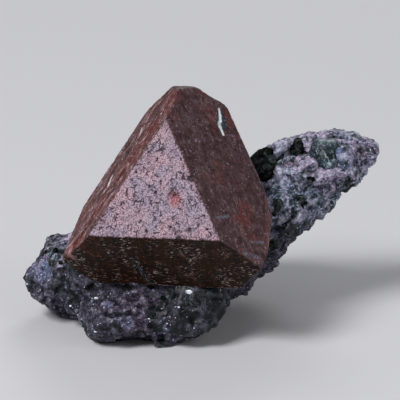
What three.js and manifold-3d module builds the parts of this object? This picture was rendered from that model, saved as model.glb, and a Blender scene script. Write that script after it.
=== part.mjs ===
// A zunyite crystal standing on a broken piece of its altered volcanic rock.
//
// Millimetres, +Z up. The specimen rests on a flat trimmed spot under the rock, at Z = 0. +X runs to the
// specimen's right, where the rock rises in a wing, and -Y is its front, where the crystal shows its
// widest triangle. The crystal has tetrahedral symmetry: a tetrahedron with its apex up, whose six edges
// are cut back by broad cube faces.

import * as THREE from "three";
import { ConvexGeometry } from "three/addons/geometries/ConvexGeometry.js";
import { mergeVertices } from "three/addons/utils/BufferGeometryUtils.js";
import Module from "manifold-3d";

const wasm = await Module();
wasm.setup();

const DEGREE = Math.PI / 180;
const GOLDEN_ANGLE = Math.PI * (3 - Math.sqrt(5)); // turns by it never fall in line

// ---------------------------------------------------------------- driving dimensions

// The crystal, in its own frame: +Z is its threefold axis, through the apex.
const CRYSTAL = {
  centre: new THREE.Vector3(-1.65, -0.3, 12.15),
  lean: -9.7 * DEGREE, // about X: the apex leans back
  side: -1.1 * DEGREE, // about Y
  turn: -20.1 * DEGREE, // about its own axis
  // Centre to each pair of opposite cube faces: back, right and left, as they meet at the apex.
  cubeHalf: [8.03, 7.55, 7.45],
  // How far each triangle cuts back the cube corner under it, along the cube's edges.
  triangleCut: { front: 9.8, left: 8.05, right: 9.55, base: 10.9 },
  apexCut: 1.7,
  lowerCornerCut: 0.35,
  bruise: 1.15, // how much the corner at the lower right has lost
};
// The left cube face has grown in two layers: the outer one stops at a ledge along the front triangle.
const LEDGE = { height: 0.2, fromTriangle: 2.8 };
// A chip in the right cube face: its ends, in mm towards the back and the left faces, and its size.
const CHIP = { ends: [[6.9, 2.75], [4.2, 1.35]], width: 0.5, depth: 0.35 };
// Pits etched in the front triangle, each a shallow three-sided cup, over a round patch whose radius is a
// share of the triangle's side.
const PITS = { count: 14, size: [0.25, 0.5], depth: 0.16, patch: 0.26, seed: 2 };

const FIT_GAP = 0.3; // between the rock and what is set in it

// Quartz grains in the rock: round grains with flat broken sides, at distances from the nearest to 1 in
// shares of the grain's radii.
const GRAIN_SIDES = { count: 18, nearest: 0.84 };
const QUARTZ_GRAINS = [
  {
    name: "quartz_grain_beside_crystal",
    centre: new THREE.Vector3(6.9, 4.1, 15.3),
    radii: new THREE.Vector3(1.8, 1.4, 1.6),
    turn: 20 * DEGREE,
    seed: 3,
  },
  {
    name: "quartz_grain_in_wing",
    centre: new THREE.Vector3(12.7, 3.0, 16.6),
    radii: new THREE.Vector3(1.5, 1.6, 1.75),
    turn: -25 * DEGREE,
    seed: 5,
  },
  {
    name: "quartz_grain_on_crest",
    centre: new THREE.Vector3(9.8, 4.3, 16.9),
    radii: new THREE.Vector3(0.6, 1.0, 0.85),
    turn: 10 * DEGREE,
    seed: 8,
  },
];

// The rock is a union of rounded lumps, each with its centre and its three radii.
const LUMPS = {
  foot: { centre: [-2.7, 4.8, 2.8], radii: [4.9, 10.1, 5.6] }, // carries the crystal
  lip: { centre: [-1.0, -5.9, 3.4], radii: [3.2, 2.8, 2.7] }, // under the crystal's front edge
  toe: { centre: [-2.6, -4.2, 1.4], radii: [1.6, 1.4, 1.5] }, // the lowest part in front
  leftLobe: { centre: [-6.1, 1.8, 4.5], radii: [11.5, 5.6, 5.7] },
  leftFoot: { centre: [-7.3, -3.5, 2.4], radii: [4.8, 4.9, 2.8] },
  heel: { centre: [3.7, 7.6, 8.2], radii: [6.4, 6.2, 5.7] }, // behind the crystal
  wingRoot: { centre: [6.6, 5.2, 11.2], radii: [6.3, 5.4, 3.5] },
  shoulder: { centre: [8.5, 5.2, 14.9], radii: [1.9, 2.4, 1.5] }, // behind the grain by the crystal
  wing: { centre: [11.2, 5.2, 14.8], radii: [4.6, 4.7, 2.9] },
  wingTip: { centre: [14.7, 5.2, 16.3], radii: [3.4, 3.3, 1.6] },
};
const LUMP_BLEND = 2;
const ROCK_REGION = { low: [-21, -13, -6], high: [21, 17, 22] }; // holds the whole rock and more
const ROCK_FACET = 0.78; // the length of the sides of the small faces that the rock's surface is made of

// Relief of the broken rock. Each layer has sites scattered a given spacing apart. Round each site the
// surface is a flat break with its own tilt, or a lump, and it changes at a crease or a ledge halfway to
// the next site.
const RELIEF = [
  { kind: "break", spacing: 4.4, depth: 1.2, seed: 11 },
  { kind: "lump", spacing: 2.5, depth: 1.0, seed: 23 },
  { kind: "lump", spacing: 1.5, depth: 0.45, seed: 37 },
];
const RELIEF_REACH = 4; // further than this from the smooth surface, relief can't matter
const LUMP_LEVEL = 0.5; // how far from its site, in spacings, a lump neither adds nor takes away

// ---------------------------------------------------------------- small tools

const SAME_PLACE = 1e-4; // vertices nearer than this are one

// A three.js geometry as a manifold-3d solid, placed by a matrix.
function solidOf(geometry, matrix = new THREE.Matrix4()) {
  const bare = new THREE.BufferGeometry();
  bare.setAttribute("position", geometry.getAttribute("position").clone());
  if (geometry.index) bare.setIndex(geometry.index.clone());
  bare.applyMatrix4(matrix);
  const merged = mergeVertices(bare, SAME_PLACE);
  return new wasm.Manifold(
    new wasm.Mesh({
      numProp: 3,
      vertProperties: merged.getAttribute("position").array,
      triVerts: new Uint32Array(merged.index.array),
    }),
  );
}

function geometryOf(solid) {
  const { vertProperties, triVerts } = solid.getMesh();
  const geometry = new THREE.BufferGeometry();
  geometry.setAttribute("position", new THREE.BufferAttribute(vertProperties, 3));
  geometry.setIndex(new THREE.BufferAttribute(triVerts, 1));
  geometry.computeVertexNormals();
  return geometry;
}

// A repeatable number from 0 to 1 for a point of the integer lattice. The large odd factors and the
// shifts scatter the bits of its coordinates.
const SCATTER = [374761393, 668265263, 1274126177, 974634777, 461845907];
function lattice(...pointAndSeed) {
  let bits = pointAndSeed.reduce((sum, part, i) => sum + Math.imul(part, SCATTER[i]), 0) | 0;
  bits = Math.imul(bits ^ (bits >>> 13), SCATTER[2]);
  bits = Math.imul(bits ^ (bits >>> 16), SCATTER[4]);
  return ((bits ^ (bits >>> 15)) >>> 0) / 2 ** 32;
}

// The nearest of a scattered set of sites, one in each cell of the lattice: how far it is, and how far
// the point lies from it along the site's own direction.
function nearestSite([x, y, z], seed) {
  const cell = [x, y, z].map(Math.floor);
  const nearest = { distance: Infinity, along: 0 };
  for (let i = cell[0] - 1; i <= cell[0] + 1; i++) {
    for (let j = cell[1] - 1; j <= cell[1] + 1; j++) {
      for (let k = cell[2] - 1; k <= cell[2] + 1; k++) {
        const dx = x - i - lattice(i, j, k, seed);
        const dy = y - j - lattice(i, j, k, seed + 1);
        const dz = z - k - lattice(i, j, k, seed + 2);
        const distance = Math.hypot(dx, dy, dz);
        if (distance >= nearest.distance) continue;
        const azimuth = 2 * Math.PI * lattice(i, j, k, seed + 3);
        const rise = 2 * lattice(i, j, k, seed + 4) - 1;
        const level = Math.sqrt(1 - rise * rise);
        nearest.distance = distance;
        nearest.along =
          level * (Math.cos(azimuth) * dx + Math.sin(azimuth) * dy) + rise * dz;
      }
    }
  }
  return nearest;
}

// ---------------------------------------------------------------- flat-faced solids

const ROUNDING = 1e-6;

// The corners of the space behind all of the planes, each { normal, distance } from the origin.
function cornersBehind(planes) {
  const corners = [];
  const solver = new THREE.Matrix3();
  for (let i = 0; i < planes.length; i++) {
    for (let j = i + 1; j < planes.length; j++) {
      for (let k = j + 1; k < planes.length; k++) {
        const three = [planes[i], planes[j], planes[k]];
        const [a, b, c] = three.map((plane) => plane.normal);
        solver.set(a.x, a.y, a.z, b.x, b.y, b.z, c.x, c.y, c.z);
        if (Math.abs(solver.determinant()) < ROUNDING) continue;
        const corner = new THREE.Vector3(...three.map((plane) => plane.distance));
        corner.applyMatrix3(solver.invert());
        const behind = ({ normal, distance }) => normal.dot(corner) < distance + ROUNDING;
        if (planes.every(behind)) corners.push(corner);
      }
    }
  }
  return corners;
}

const solidBehind = (planes, matrix) => solidOf(new ConvexGeometry(cornersBehind(planes)), matrix);
const grown = (planes, gap) => planes.map(({ normal, distance }) => ({ normal, distance: distance + gap }));

// ---------------------------------------------------------------- the zunyite crystal

// The directions that the three upper cube faces look in: back, right and left. They are square to each
// other, and alike about the apex.
const upperCube = [90, -30, 210].map((azimuth) => {
  const direction = new THREE.Vector3(Math.SQRT2, 0, 1).normalize();
  return direction.applyAxisAngle(new THREE.Vector3(0, 0, 1), azimuth * DEGREE);
});
const [backFace, rightFace, leftFace] = upperCube;
// The cube corner on the given side of the centre along each of the three directions.
const cornerSigns = {
  front: [-1, 1, 1],
  left: [1, -1, 1],
  right: [1, 1, -1],
  base: [-1, -1, -1],
};

function cubeCorner(signs) {
  const corner = new THREE.Vector3();
  signs.forEach((sign, i) => corner.addScaledVector(upperCube[i], sign * CRYSTAL.cubeHalf[i]));
  return corner;
}

// The plane that cuts back a cube corner by the same length along its three edges.
function cornerPlane(signs, cut) {
  const corner = cubeCorner(signs);
  const normal = new THREE.Vector3();
  signs.forEach((sign, i) => normal.addScaledVector(upperCube[i], sign));
  normal.normalize();
  return { normal, distance: normal.dot(corner) - cut / Math.sqrt(3) };
}

function crystalPlanes() {
  const planes = [];
  upperCube.forEach((normal, i) => {
    const distance = CRYSTAL.cubeHalf[i];
    const ledge = normal === leftFace ? LEDGE.height : 0;
    planes.push({ normal, distance: distance + ledge });
    planes.push({ normal: normal.clone().negate(), distance });
  });
  for (const [side, signs] of Object.entries(cornerSigns)) {
    planes.push(cornerPlane(signs, CRYSTAL.triangleCut[side]));
    const opposite = signs.map((sign) => -sign);
    const cut = side === "base" ? CRYSTAL.apexCut : CRYSTAL.lowerCornerCut;
    planes.push(cornerPlane(opposite, cut));
  }
  return planes;
}

// The bruised corner is where the right cube face, the face opposite the left one and the right triangle
// meet. The bruise faces the way that the three of them share.
function withBruise(planes) {
  const triangle = cornerPlane(cornerSigns.right, CRYSTAL.triangleCut.right);
  const normal = rightFace.clone().sub(leftFace).add(triangle.normal).normalize();
  const reach = Math.max(...cornersBehind(planes).map((corner) => normal.dot(corner)));
  return [...planes, { normal, distance: reach - CRYSTAL.bruise }];
}

// What lies outside the left face's inner layer, from the front triangle to the ledge.
function ledgeCut() {
  const inner = CRYSTAL.cubeHalf[2];
  const across = backFace.clone().sub(rightFace).normalize(); // in the face, away from the front triangle
  const along = across.clone().cross(leftFace);
  const front = cornerPlane(cornerSigns.front, CRYSTAL.triangleCut.front);
  const edge = (front.distance - front.normal.dot(leftFace) * inner) / front.normal.dot(across);
  const beyond = 30; // further than the crystal reaches
  return solidBehind([
    { normal: across, distance: edge + LEDGE.fromTriangle },
    { normal: across.clone().negate(), distance: beyond },
    { normal: leftFace, distance: beyond },
    { normal: leftFace.clone().negate(), distance: -inner },
    { normal: along, distance: beyond },
    { normal: along.clone().negate(), distance: beyond },
  ]);
}

// A frame in a face: X along the given direction, Z out of the face.
function faceFrame(origin, along, outward) {
  const x = along.clone().normalize();
  const y = outward.clone().cross(x).normalize();
  return new THREE.Matrix4().makeBasis(x, y, outward).setPosition(origin);
}

function chipCut() {
  const [from, to] = CHIP.ends.map(([back, left]) =>
    new THREE.Vector3()
      .addScaledVector(backFace, back)
      .addScaledVector(rightFace, CRYSTAL.cubeHalf[1])
      .addScaledVector(leftFace, left),
  );
  const along = to.clone().sub(from);
  const middle = from.clone().lerp(to, 0.5);
  const wedge = new THREE.OctahedronGeometry(1).scale(along.length() / 2, CHIP.width / 2, CHIP.depth);
  return solidOf(wedge, faceFrame(middle, along, rightFace));
}

// The pits are spread evenly over their patch, each a little out of step.
function pitCuts() {
  const cut = CRYSTAL.triangleCut.front;
  const { normal } = cornerPlane(cornerSigns.front, cut);
  const heart = cubeCorner(cornerSigns.front).addScaledVector(normal, -cut / Math.sqrt(3));
  const triangle = faceFrame(heart, rightFace.clone().sub(leftFace), normal);
  const patch = PITS.patch * cut * Math.SQRT2;
  return Array.from({ length: PITS.count }, (_, i) => {
    const radius = Math.sqrt((i + 0.5) / PITS.count) * patch;
    const azimuth = i * GOLDEN_ANGLE + lattice(i, 0, 0, PITS.seed);
    const size = THREE.MathUtils.lerp(...PITS.size, lattice(i, 1, 0, PITS.seed));
    const cup = new THREE.ConeGeometry(size, PITS.depth * 2, 3).rotateX(-Math.PI / 2);
    cup.translate(radius * Math.cos(azimuth), radius * Math.sin(azimuth), 0);
    return solidOf(cup, triangle);
  });
}

const crystalMatrix = new THREE.Matrix4().compose(
  CRYSTAL.centre,
  new THREE.Quaternion().setFromEuler(
    new THREE.Euler(CRYSTAL.lean, CRYSTAL.side, CRYSTAL.turn, "XYZ"),
  ),
  new THREE.Vector3(1, 1, 1),
);

// ---------------------------------------------------------------- the quartz grains

// The sides look in directions spread evenly over a ball, each a little nearer or farther than the next.
function grainGeometry({ radii, seed }) {
  const { count, nearest } = GRAIN_SIDES;
  const sides = Array.from({ length: count }, (_, i) => {
    const height = 1 - (2 * i + 1) / count;
    const normal = new THREE.Vector3(Math.sqrt(1 - height * height), 0, height);
    normal.applyAxisAngle(new THREE.Vector3(0, 0, 1), i * GOLDEN_ANGLE);
    return { normal, distance: THREE.MathUtils.lerp(nearest, 1, lattice(i, 0, 0, seed)) };
  });
  return new ConvexGeometry(cornersBehind(sides)).scale(radii.x, radii.y, radii.z);
}

const grainMatrix = ({ centre, turn }) => new THREE.Matrix4().makeRotationY(turn).setPosition(centre);

// ---------------------------------------------------------------- the rock

// Signed distance to one lump, close to exact near its surface.
function lumpDistance({ centre, radii }, point) {
  const offset = point.map((p, axis) => p - centre[axis]);
  const scaled = Math.hypot(...offset.map((d, axis) => d / radii[axis]));
  const slope = Math.hypot(...offset.map((d, axis) => d / radii[axis] ** 2));
  return (scaled * (scaled - 1)) / Math.max(slope, ROUNDING);
}

function smoothMin(a, b, blend) {
  const overlap = Math.max(blend - Math.abs(a - b), 0) / blend;
  return Math.min(a, b) - (overlap * overlap * blend) / 4;
}

// Below zero inside the rock.
function rockField(point) {
  let distance = Object.values(LUMPS)
    .map((lump) => lumpDistance(lump, point))
    .reduce((a, b) => smoothMin(a, b, LUMP_BLEND));
  if (Math.abs(distance) > RELIEF_REACH) return distance;
  for (const { kind, spacing, depth, seed } of RELIEF) {
    const site = nearestSite(point.map((p) => p / spacing), seed);
    const rise = kind === "break" ? site.along : site.distance - LUMP_LEVEL;
    distance += rise * depth;
  }
  return distance;
}

// Where a grid face has its two inside corners at opposite ends, the surface would touch itself along an
// edge, so the nearer of the outside corners is filled in, until no such face is left.
const NECK_FILL = -0.1;
function fillNecks(values, [x, y, z]) {
  let filled = true;
  while (filled) {
    filled = false;
    for (let here = 0; here < values.length - x - y; here++) {
      for (const [u, v] of [[x, y], [y, z], [z, x]]) {
        const face = [here, here + u, here + u + v, here + v];
        const [a, b, c, d] = face.map((at) => values[at] < 0);
        if (a === b || b === c || c === d) continue;
        const [p, q] = face.filter((at) => values[at] >= 0);
        values[values[p] < values[q] ? p : q] = NECK_FILL;
        filled = true;
      }
    }
  }
}

// The corners of a cell, numbered by their three bits, and its edges, each a pair of corners.
const CELL_CORNERS = Array.from({ length: 8 }, (_, c) => new THREE.Vector3(c & 1, (c >> 1) & 1, c >> 2));
const CELL_EDGES = CELL_CORNERS.flatMap((_, c) =>
  [1, 2, 4].filter((bit) => !(c & bit)).map((bit) => [c, c | bit]),
);

// The mean of the places where the surface crosses a cell's edges, or nothing if it crosses none.
function meanCrossing(value) {
  const crossed = CELL_EDGES.filter(([from, to]) => value[from] < 0 !== value[to] < 0);
  if (crossed.length === 0) return undefined;
  const sum = new THREE.Vector3();
  for (const [from, to] of crossed) {
    const share = value[from] / (value[from] - value[to]);
    sum.add(CELL_CORNERS[from].clone().lerp(CELL_CORNERS[to], share));
  }
  return sum.divideScalar(crossed.length);
}

// The surface where a field is zero, as one closed mesh of small faces. Each cell of a grid that the
// surface crosses gets one vertex, and each grid edge that it crosses gets a face between the four cells
// round that edge.
function surfaceOf(field, { low, high }, step) {
  const [nx, ny, nz] = low.map((from, axis) => Math.ceil((high[axis] - from) / step));
  const strides = [ny * nz, nz, 1];
  const gridPoint = (at) => [Math.floor(at / strides[0]), Math.floor(at / nz) % ny, at % nz];
  const place = (grid) => grid.map((g, axis) => low[axis] + g * step);
  const values = Float32Array.from({ length: nx * ny * nz }, (_, at) => field(place(gridPoint(at))));
  fillNecks(values, strides);

  const cornerOffsets = CELL_CORNERS.map((c) => c.x * strides[0] + c.y * strides[1] + c.z);
  const places = [];
  const vertexOfCell = new Map();
  const lastCell = values.length - cornerOffsets[7];
  for (let cell = 0; cell < lastCell; cell++) {
    const crossing = meanCrossing(cornerOffsets.map((offset) => values[cell + offset]));
    if (!crossing) continue;
    const [i, j, k] = gridPoint(cell);
    vertexOfCell.set(cell, places.length / 3);
    places.push(...place([i + crossing.x, j + crossing.y, k + crossing.z]));
  }

  const faces = [];
  for (const cell of vertexOfCell.keys()) {
    strides.forEach((stride, axis) => {
      const inside = values[cell] < 0;
      if (inside === values[cell + stride] < 0) return;
      const u = strides[(axis + 1) % 3];
      const v = strides[(axis + 2) % 3];
      const ring = [cell - u - v, cell - v, cell, cell - u].map((at) => vertexOfCell.get(at));
      if (!inside) ring.reverse();
      const [a, b, c, d] = ring;
      faces.push(a, b, c, a, c, d);
    });
  }

  const geometry = new THREE.BufferGeometry();
  geometry.setAttribute("position", new THREE.Float32BufferAttribute(places, 3));
  geometry.setIndex(faces);
  return geometry;
}

// The rock is flat at the ground, and has a pocket for the crystal and one for each grain. A sliver that
// a pocket cuts loose isn't part of it.
function rockSolid() {
  const [width, depth] = [0, 1].map((axis) => 2 * (ROCK_REGION.high[axis] - ROCK_REGION.low[axis]));
  const thickness = -2 * ROCK_REGION.low[2];
  const ground = new THREE.BoxGeometry(width, depth, thickness).translate(0, 0, -thickness / 2);
  const seat = FIT_GAP / GRAIN_SIDES.nearest;
  const pockets = QUARTZ_GRAINS.map((grain) =>
    solidOf(grainGeometry({ ...grain, radii: grain.radii.clone().addScalar(seat) }), grainMatrix(grain)),
  );
  const cuts = [solidOf(ground), solidBehind(grown(crystalPlanes(), FIT_GAP), crystalMatrix), ...pockets];
  const rough = solidOf(surfaceOf(rockField, ROCK_REGION, ROCK_FACET));
  const pieces = cuts.reduce((rock, cut) => rock.subtract(cut), rough).decompose();
  return pieces.reduce((a, b) => (a.volume() > b.volume() ? a : b));
}

// ---------------------------------------------------------------- the specimen

const zunyiteFinish = new THREE.MeshStandardMaterial({ color: 0x6e4a46, roughness: 0.45, metalness: 0 });
const rockFinish = new THREE.MeshStandardMaterial({ color: 0x7d7a8a, roughness: 0.9, metalness: 0 });
const quartzFinish = new THREE.MeshStandardMaterial({ color: 0x2c3a36, roughness: 0.15, metalness: 0 });

function piece(name, geometry, finish, matrix = new THREE.Matrix4()) {
  const mesh = new THREE.Mesh(geometry, finish);
  mesh.name = name;
  mesh.applyMatrix4(matrix);
  return mesh;
}

function zunyiteCrystal() {
  const whole = solidBehind(withBruise(crystalPlanes()));
  const cuts = [ledgeCut(), chipCut(), ...pitCuts()];
  const crystal = cuts.reduce((solid, cut) => solid.subtract(cut), whole);
  return piece("zunyite_crystal", geometryOf(crystal), zunyiteFinish, crystalMatrix);
}

// The origin is on the ground, under the middle of the specimen.
const placed = new THREE.Group();
placed.add(zunyiteCrystal());
placed.add(piece("rock_matrix", geometryOf(rockSolid()), rockFinish));
for (const grain of QUARTZ_GRAINS) {
  placed.add(piece(grain.name, grainGeometry(grain), quartzFinish, grainMatrix(grain)));
}
const extent = new THREE.Box3().setFromObject(placed, true);
const middle = extent.getCenter(new THREE.Vector3());
placed.position.set(-middle.x, -middle.y, -extent.min.z);

const specimen = new THREE.Group();
specimen.add(placed);

export default specimen;
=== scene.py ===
"""A zunyite crystal on its broken volcanic rock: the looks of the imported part.

Metres, in the part's own frame. Sizes are written in mm and turned into metres by MM. Places in the tables
are X, Y and Z in mm from the crystal's centre.
"""

import math

import bmesh
import bpy
import numpy as np
from mathutils import Euler, Matrix, Vector
from mathutils.bvhtree import BVHTree


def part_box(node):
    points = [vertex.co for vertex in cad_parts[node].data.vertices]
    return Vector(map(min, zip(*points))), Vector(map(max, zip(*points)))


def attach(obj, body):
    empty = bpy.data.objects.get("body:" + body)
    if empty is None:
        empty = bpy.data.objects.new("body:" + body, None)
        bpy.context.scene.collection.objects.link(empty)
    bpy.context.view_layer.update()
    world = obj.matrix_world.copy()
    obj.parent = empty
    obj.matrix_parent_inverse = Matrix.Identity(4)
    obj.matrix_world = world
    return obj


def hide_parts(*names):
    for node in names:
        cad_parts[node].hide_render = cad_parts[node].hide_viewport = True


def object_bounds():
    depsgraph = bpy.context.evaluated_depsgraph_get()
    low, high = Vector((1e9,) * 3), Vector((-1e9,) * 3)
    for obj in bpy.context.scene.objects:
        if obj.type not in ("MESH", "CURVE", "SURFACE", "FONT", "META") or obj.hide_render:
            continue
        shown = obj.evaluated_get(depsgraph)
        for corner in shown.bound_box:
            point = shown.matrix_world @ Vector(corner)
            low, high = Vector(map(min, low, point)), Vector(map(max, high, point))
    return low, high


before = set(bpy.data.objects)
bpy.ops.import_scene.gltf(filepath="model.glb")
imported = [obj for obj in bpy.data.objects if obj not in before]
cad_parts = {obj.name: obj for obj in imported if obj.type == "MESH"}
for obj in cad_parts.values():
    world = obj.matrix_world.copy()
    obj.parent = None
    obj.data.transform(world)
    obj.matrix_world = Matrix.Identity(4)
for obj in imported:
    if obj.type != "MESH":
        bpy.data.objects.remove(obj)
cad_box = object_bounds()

MM = 0.001
SAME_PLACE = 1e-3  # mm: a CAD node's vertices nearer than this are one


# ---- node trees


class Wire:
    """A node's output. Sums written with it add the nodes that work them out."""

    def __init__(self, tree, socket):
        self.tree, self.socket = tree, socket

    def out(self, name):
        return Wire(self.tree, self.socket.node.outputs[name])

    def sum(self, operation, *parts):
        return self.tree.node("ShaderNodeMath", {"operation": operation}, parts)

    def __add__(self, other):
        return self.sum("ADD", self, other)

    def __sub__(self, other):
        return self.sum("SUBTRACT", self, other)

    def __rsub__(self, other):
        return self.sum("SUBTRACT", other, self)

    def __mul__(self, other):
        if isinstance(other, tuple):
            return self.tree.vector("MULTIPLY", self, other)
        return self.sum("MULTIPLY", self, other)

    def __truediv__(self, other):
        return self.sum("DIVIDE", self, other)

    def __rtruediv__(self, other):
        return self.sum("DIVIDE", other, self)

    __radd__, __rmul__ = __add__, __mul__

    def at_most(self, other):
        return self.sum("MINIMUM", self, other)

    def at_least(self, other):
        return self.sum("MAXIMUM", self, other)

    def axis(self, number):
        """One part of a vector or a colour: 0, 1 or 2."""
        return self.tree.node("ShaderNodeSeparateXYZ", {}, [self], number)


class Tree:
    """A node tree in the making. Its place, where its noise and cells lie, is that on the object in mm."""

    def __init__(self, made, place_from, output=0):
        self.made = made
        self.place = self.scaled(self.node(place_from, output=output), 1 / MM)

    def node(self, kind, settings=None, inputs=(), output=0):
        """Adds one node: its settings first, then a value or a link for each input named or counted."""
        made = self.made.nodes.new(kind)
        for name, value in (settings or {}).items():
            setattr(made, name, value)
        for place, value in inputs.items() if isinstance(inputs, dict) else enumerate(inputs):
            if isinstance(value, Wire):
                self.made.links.new(value.socket, made.inputs[place])
            else:
                made.inputs[place].default_value = value
        return Wire(self, made.outputs[output])

    def vector(self, operation, *parts):
        output = "Value" if operation in ("DOT_PRODUCT", "LENGTH") else "Vector"
        return self.node("ShaderNodeVectorMath", {"operation": operation}, parts, output)

    def scaled(self, vector, factor):
        return self.node("ShaderNodeVectorMath", {"operation": "SCALE"}, {"Vector": vector, "Scale": factor})

    def noise(self, size, detail=2, roughness=0.5, seed=0, at=None, output=0):
        """Cloudy noise from 0 to 1, with lumps of about a size."""
        inputs = {"Vector": at or self.place, "W": seed, "Scale": 1 / size, "Detail": detail}
        inputs["Roughness"] = roughness
        return self.node("ShaderNodeTexNoise", {"noise_dimensions": "4D"}, inputs, output)

    def cells(self, size, feature="F1", at=None):
        """Cells of about a size: the distance to their sites, in shares of a cell."""
        inputs = {"Vector": at or self.place, "Scale": 1 / size}
        return self.node("ShaderNodeTexVoronoi", {"feature": feature}, inputs)

    def step(self, value, low, high, start=0, end=1):
        """A soft step from start to end as the value goes from low to high."""
        settings = {"interpolation_type": "SMOOTHSTEP"}
        inputs = {"Value": value, "From Min": low, "From Max": high, "To Min": start, "To Max": end}
        return self.node("ShaderNodeMapRange", settings, inputs)

    def blend(self, share, first, second, way="MIX"):
        """The first colour turning into the second as the share goes from 0 to 1.

        A colour is another node's, or written in the usual 0 to 255."""
        first, second = (c if isinstance(c, Wire) else colour(*c) for c in (first, second))
        settings = {"data_type": "RGBA", "blend_type": way}
        return self.node("ShaderNodeMix", settings, {0: share, 6: first, 7: second}, 2)

    def tinted(self, share, first, second):
        """The first colour multiplied by the second, as far as the share says."""
        return self.blend(share, first, second, "MULTIPLY")

    def shaded(self, value, low, high, first, second):
        """The first colour turning into the second as the value goes from low to high."""
        return self.blend(self.step(value, low, high), first, second)

    def layered(self, base, *layers):
        """A colour under layers, each of them a share and the colour that it brings."""
        for share, over in layers:
            base = self.blend(share, base, over)
        return base


def colour(red, green, blue):
    """A colour written in the usual 0 to 255, as the shaders want it."""

    def linear(level):
        share = level / 255
        return share / 12.92 if share <= 0.04045 else ((share + 0.055) / 1.055) ** 2.4

    return (linear(red), linear(green), linear(blue), 1.0)


# ---- meshes and objects


def placed(name, mesh):
    made = bpy.data.objects.new(name, mesh)
    bpy.context.scene.collection.objects.link(made)
    return made


def evaluated(made):
    """A plain mesh of an object and its modifiers. The object is thrown away."""
    bpy.context.view_layer.update()
    seen = made.evaluated_get(bpy.context.evaluated_depsgraph_get())
    mesh = bpy.data.meshes.new_from_object(seen)
    bpy.data.objects.remove(made)
    return mesh


def add_smoothing(made, rounds, spots=""):
    """Rounds of smoothing for an object, weighted by a vertex group where one is named."""
    ease = made.modifiers.new("ease", "SMOOTH")
    ease.factor, ease.iterations, ease.vertex_group = 0.5, rounds, spots


def remeshed(node, cell, rounds):
    """A CAD node as a closed mesh of small squares about a cell wide in mm, and a little smoothed."""
    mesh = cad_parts[node].data.copy()
    mesh.materials.clear()
    shape = bmesh.new()
    shape.from_mesh(mesh)
    bmesh.ops.remove_doubles(shape, verts=shape.verts, dist=SAME_PLACE * MM)
    shape.to_mesh(mesh)
    shape.free()
    blank = placed("blank", mesh)
    fine = blank.modifiers.new("fine", "REMESH")
    fine.mode, fine.voxel_size, fine.use_smooth_shade = "VOXEL", cell * MM, True
    add_smoothing(blank, rounds)
    return evaluated(blank)


def through(tree, mesh, sizes, material):
    """The mesh that a Geometry Nodes tree makes from another one, with the tree's named inputs set."""
    settings = {**sizes, "Material": material}
    blank = placed("blank", mesh)
    step = blank.modifiers.new("made", "NODES")
    step.node_group = tree
    for item in tree.interface.items_tree:
        if item.item_type == "SOCKET" and item.in_out == "INPUT" and item.name in settings:
            step[item.identifier] = settings[item.name]
    return evaluated(blank)


def eased_where(mesh, share, rounds):
    """The mesh smoothed by some rounds, each vertex as much as its share from 0 to 1 says."""
    felt = 0.01  # a smaller share does nothing that shows
    blank = placed("blank", mesh)
    spots = blank.vertex_groups.new(name="spots")
    for number in np.nonzero(share > felt)[0]:
        spots.add([int(number)], float(share[number]), "REPLACE")
    add_smoothing(blank, rounds, "spots")
    return evaluated(blank)


def points_of(mesh):
    points = np.zeros(len(mesh.vertices) * 3)
    mesh.vertices.foreach_get("co", points)
    return points.reshape(-1, 3)


def move_points(mesh, points):
    mesh.vertices.foreach_set("co", points.ravel())
    mesh.update()


def kept_in_box(mesh):
    low, high = (np.array(corner) for corner in cad_box)
    move_points(mesh, np.clip(points_of(mesh), low, high))
    return mesh


def mark(mesh, name, values):
    """Keeps a number or a vector for each vertex, under a name that materials can read."""
    kind, field = ("FLOAT", "value") if values.ndim == 1 else ("FLOAT_VECTOR", "vector")
    layer = mesh.attributes.new(name, kind, "POINT")
    layer.data.foreach_set(field, values.astype(np.float32).ravel())


# ---- the crystal's faces

# The crystal's planes, in its own frame: +Z is its threefold axis, through the apex.
LEAN, SIDE, TURN = (math.radians(angle) for angle in (-9.7, -1.1, -20.1))
CENTRE_FROM_BOX = Vector((12.12, 10.67, 8.19)) * MM  # from its box's lowest corner
CUBE_HALF = np.array([8.03, 7.55, 7.45])  # mm from the centre: back, right and left cube faces
TRIANGLE_CUT = {(-1, 1, 1): 9.8, (1, -1, 1): 8.05, (1, 1, -1): 9.55, (-1, -1, -1): 10.9}
SMALL_CUT = {(1, 1, 1): 1.7, (1, -1, -1): 0.35, (-1, 1, -1): 0.35, (-1, -1, 1): 0.35}
BRUISE_DISTANCE = 8.74  # mm from the centre: the bruised corner at the lower right
APEX, BRUISE = 10, 14  # their numbers among the planes

crystal_low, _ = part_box("zunyite_crystal")
crystal_centre = np.array(crystal_low + CENTRE_FROM_BOX)


def crystal_axes():
    """The directions of the back, right and left cube faces, one in each row."""
    turned = Matrix.Rotation(LEAN, 3, "X") @ Matrix.Rotation(SIDE, 3, "Y") @ Matrix.Rotation(TURN, 3, "Z")
    upright = Vector((math.sqrt(2), 0, 1)).normalized()
    rows = [turned @ Matrix.Rotation(math.radians(a), 3, "Z") @ upright for a in (90, -30, 210)]
    return np.array(rows)


def crystal_planes():
    """Every flat face: the way it looks, its distance from the centre in mm, and its kind."""
    axes = crystal_axes()
    planes = []
    for i in range(3):
        planes += [(axes[i], CUBE_HALF[i], "cube"), (-axes[i], CUBE_HALF[i], "cube")]
    for cuts, kind in ((TRIANGLE_CUT, "triangle"), (SMALL_CUT, "small")):
        for signs, cut in cuts.items():
            outward = np.array(signs) @ axes / math.sqrt(3)
            planes.append((outward, (np.sum(CUBE_HALF) - cut) / math.sqrt(3), kind))
    bruise = axes[1] - axes[2] + np.array((1, 1, -1)) @ axes / math.sqrt(3)
    planes.append((bruise / np.linalg.norm(bruise), BRUISE_DISTANCE, "bruise"))
    return planes


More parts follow.
